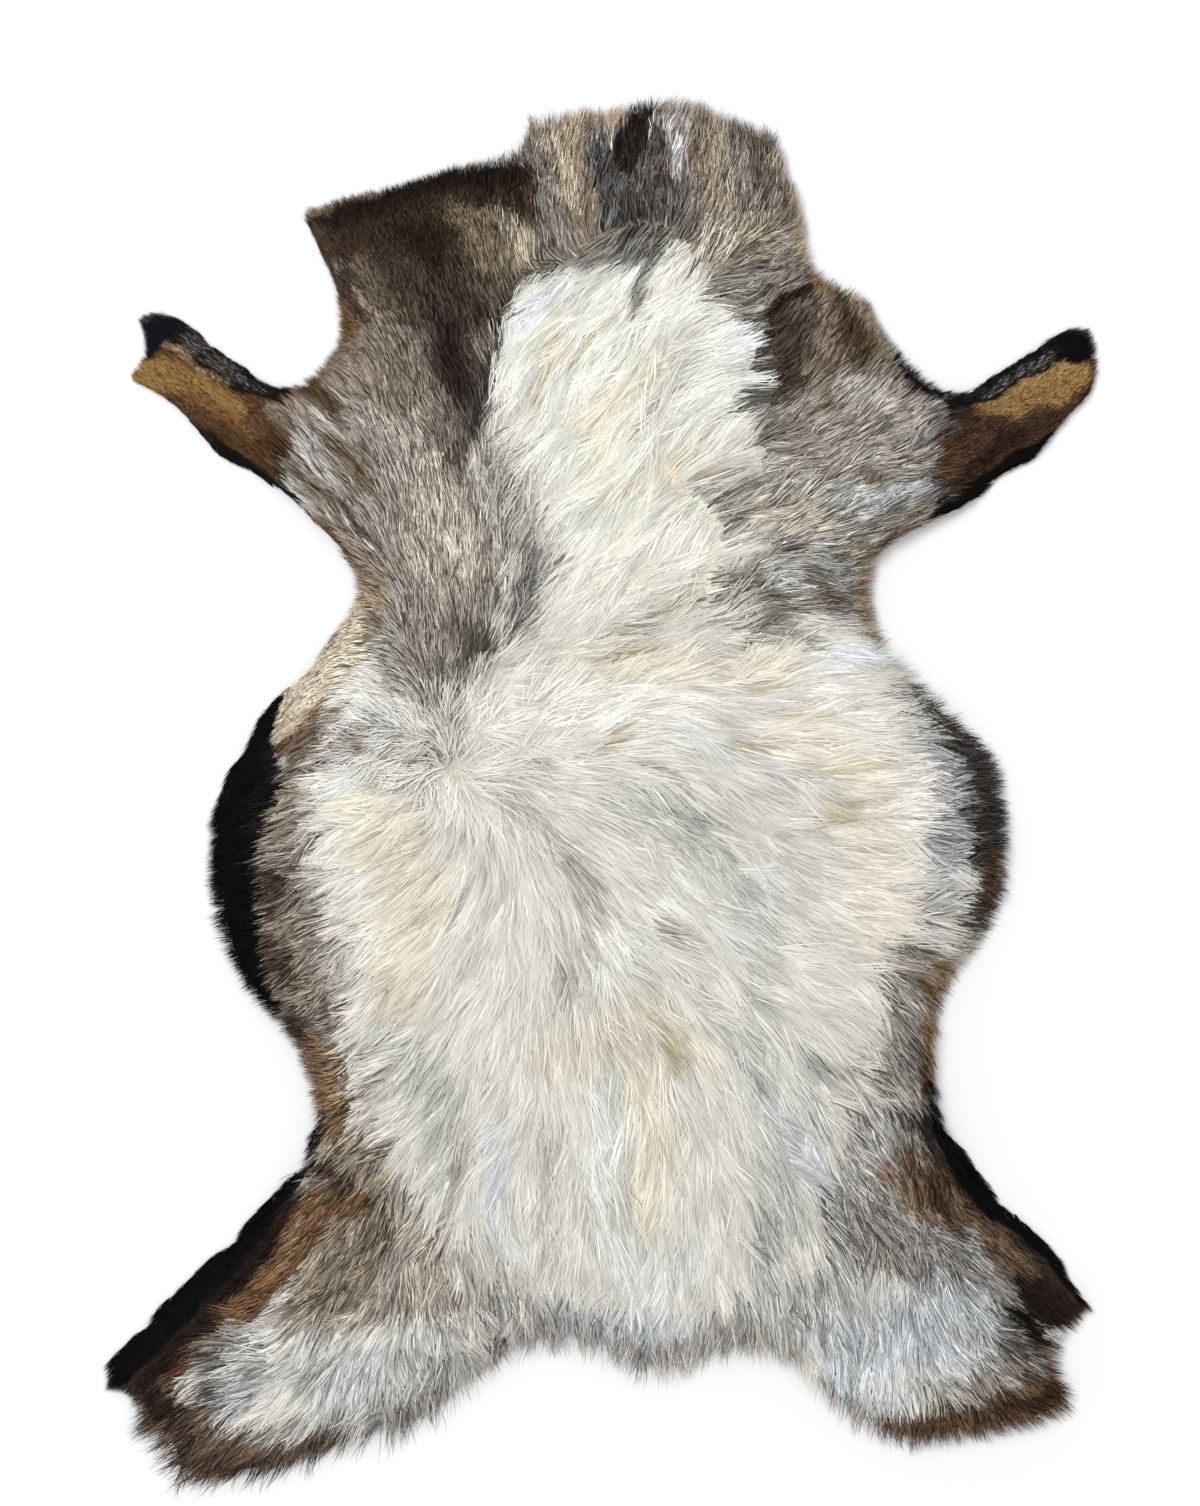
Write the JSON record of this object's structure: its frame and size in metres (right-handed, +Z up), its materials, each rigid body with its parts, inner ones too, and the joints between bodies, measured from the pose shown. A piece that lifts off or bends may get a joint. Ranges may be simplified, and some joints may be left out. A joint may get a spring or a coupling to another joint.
{
  "type": "lambskin",
  "caption": "Tanned lambskin with its wool on, spread flat, wool side up: short wool on neck and legs, long shaggy wool on the body.",
  "frame": {"origin": "middle of the lambskin's outer box, at the surface it lies on", "axes": "+Y from the tail towards the neck, +X towards the right foreleg as seen from above, +Z up out of the wool"},
  "size_m": [0.7522, 1.0514, 0.0569],
  "materials": {
    "wool": "matte natural wool, mottled cream, grey, brown and black"
  },
  "bodies": {
    "root": {"lambskin": "wool"}
  },
  "joints": []
}
